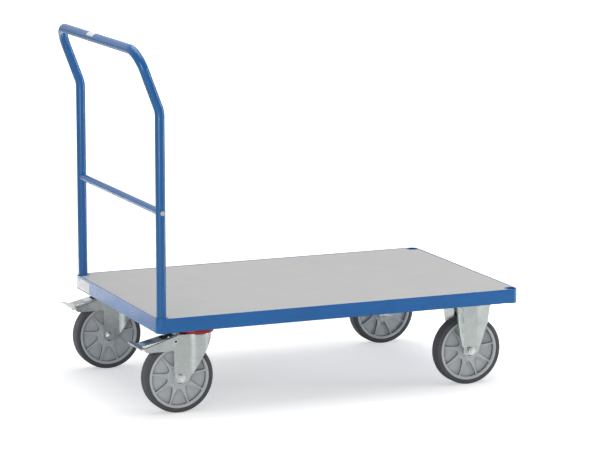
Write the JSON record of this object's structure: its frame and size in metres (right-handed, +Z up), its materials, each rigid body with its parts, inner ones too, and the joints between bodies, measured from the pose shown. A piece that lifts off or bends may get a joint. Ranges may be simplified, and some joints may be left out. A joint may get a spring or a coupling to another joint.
{
  "type": "platform cart",
  "caption": "Flat-deck platform cart in a steel rim, with a plug-in bent-tube push handle, braked swivel castors behind and fixed castors in front.",
  "frame": {"origin": "on the floor, under the middle of the cart's bounding box", "axes": "+X the way the cart is pushed, away from the handle; +Y its left side; +Z up, out of the deck's top face"},
  "size_m": [1.1584, 0.701, 1.021],
  "materials": {
    "frame_paint": "semi-gloss powder coat",
    "handle_paint": "semi-gloss powder coat",
    "deck_board": "satin laminate",
    "zinc_sheet": "bright zinc",
    "pedal_zinc": "bright zinc",
    "fasteners": "bright zinc",
    "bearing_steel": "oiled steel",
    "tyre": "satin rubber",
    "rim": "satin",
    "bearing": "satin",
    "seal_ring": "gloss",
    "brake_rubber": "matt"
  },
  "bodies": {
    "chassis": {"rail_left": "frame_paint", "rail_right": "frame_paint", "rail_rear": "frame_paint", "rail_front": "frame_paint", "socket_rear_left": "frame_paint", "socket_rear_right": "frame_paint", "socket_front_left": "frame_paint", "socket_front_right": "frame_paint", "deck_board": "deck_board", "bearer_rear": "frame_paint", "bearer_middle": "frame_paint", "bearer_front": "frame_paint", "deck_screws": "fasteners", "castor_bolts": "fasteners", "castor_nuts": "fasteners", "swivel_plate_left": "zinc_sheet", "swivel_plate_right": "zinc_sheet", "kingpin_left": "bearing_steel", "kingpin_right": "bearing_steel", "fixed_fork_left": "zinc_sheet", "fixed_fork_right": "zinc_sheet", "axle_bolts_front": "fasteners", "axle_nuts_front": "fasteners", "axle_sleeves_front": "bearing_steel"},
    "castor_left": {"swivel_fork_left": "zinc_sheet", "seal_ring_left": "seal_ring", "axle_bolt_rear_left": "fasteners", "axle_nut_rear_left": "fasteners", "axle_sleeve_rear_left": "bearing_steel", "pedal_rivets_left": "fasteners"},
    "balls_left": {"ball_rows_left": "bearing_steel"},
    "pedal_left": {"pedal_left": "pedal_zinc", "brake_shoe_left": "brake_rubber"},
    "wheel_rear_left": {"tyre_rear_left": "tyre", "rim_rear_left": "rim", "bearing_rear_left": "bearing"},
    "wheel_front_left": {"tyre_front_left": "tyre", "rim_front_left": "rim", "bearing_front_left": "bearing"},
    "castor_right": {"swivel_fork_right": "zinc_sheet", "seal_ring_right": "seal_ring", "axle_bolt_rear_right": "fasteners", "axle_nut_rear_right": "fasteners", "axle_sleeve_rear_right": "bearing_steel", "pedal_rivets_right": "fasteners"},
    "balls_right": {"ball_rows_right": "bearing_steel"},
    "pedal_right": {"pedal_right": "pedal_zinc", "brake_shoe_right": "brake_rubber"},
    "wheel_rear_right": {"tyre_rear_right": "tyre", "rim_rear_right": "rim", "bearing_rear_right": "bearing"},
    "wheel_front_right": {"tyre_front_right": "tyre", "rim_front_right": "rim", "bearing_front_right": "bearing"},
    "push_handle": {"handle_tube": "handle_paint", "crossbar": "handle_paint", "crossbar_bolts": "fasteners"}
  },
  "joints": [
    {"name": "handle_lift", "type": "slide", "parent": "chassis", "child": "push_handle", "axis": [0, 0, 1], "range_m": [0, 0.06]},
    {"name": "swivel_left", "type": "hinge", "parent": "chassis", "child": "castor_left", "pos_m": [-0.38825, 0.2945, 0.241], "axis": [0, 0, 1], "continuous": true},
    {"name": "ball_roll_left", "type": "hinge", "parent": "chassis", "child": "balls_left", "pos_m": [-0.38825, 0.2945, 0.241], "axis": [0, 0, 1], "continuous": true},
    {"name": "pedal_press_left", "type": "hinge", "parent": "castor_left", "child": "pedal_left", "pos_m": [-0.45925, 0.2945, 0.204], "axis": [0, -1, 0], "range_deg": [0, 8]},
    {"name": "wheel_spin_rear_left", "type": "hinge", "parent": "castor_left", "child": "wheel_rear_left", "pos_m": [-0.44525, 0.2945, 0.1], "axis": [0, 1, 0], "continuous": true},
    {"name": "wheel_spin_front_left", "type": "hinge", "parent": "chassis", "child": "wheel_front_left", "pos_m": [0.43925, 0.2945, 0.1], "axis": [0, 1, 0], "continuous": true},
    {"name": "swivel_right", "type": "hinge", "parent": "chassis", "child": "castor_right", "pos_m": [-0.38825, -0.2945, 0.241], "axis": [0, 0, 1], "continuous": true},
    {"name": "ball_roll_right", "type": "hinge", "parent": "chassis", "child": "balls_right", "pos_m": [-0.38825, -0.2945, 0.241], "axis": [0, 0, 1], "continuous": true},
    {"name": "pedal_press_right", "type": "hinge", "parent": "castor_right", "child": "pedal_right", "pos_m": [-0.45925, -0.2945, 0.204], "axis": [0, -1, 0], "range_deg": [0, 8]},
    {"name": "wheel_spin_rear_right", "type": "hinge", "parent": "castor_right", "child": "wheel_rear_right", "pos_m": [-0.44525, -0.2945, 0.1], "axis": [0, 1, 0], "continuous": true},
    {"name": "wheel_spin_front_right", "type": "hinge", "parent": "chassis", "child": "wheel_front_right", "pos_m": [0.43925, -0.2945, 0.1], "axis": [0, 1, 0], "continuous": true}
  ],
  "couplings": [
    {"joint": "ball_roll_left", "follows": "swivel_left", "ratio": 0.5},
    {"joint": "ball_roll_right", "follows": "swivel_right", "ratio": 0.5}
  ]
}
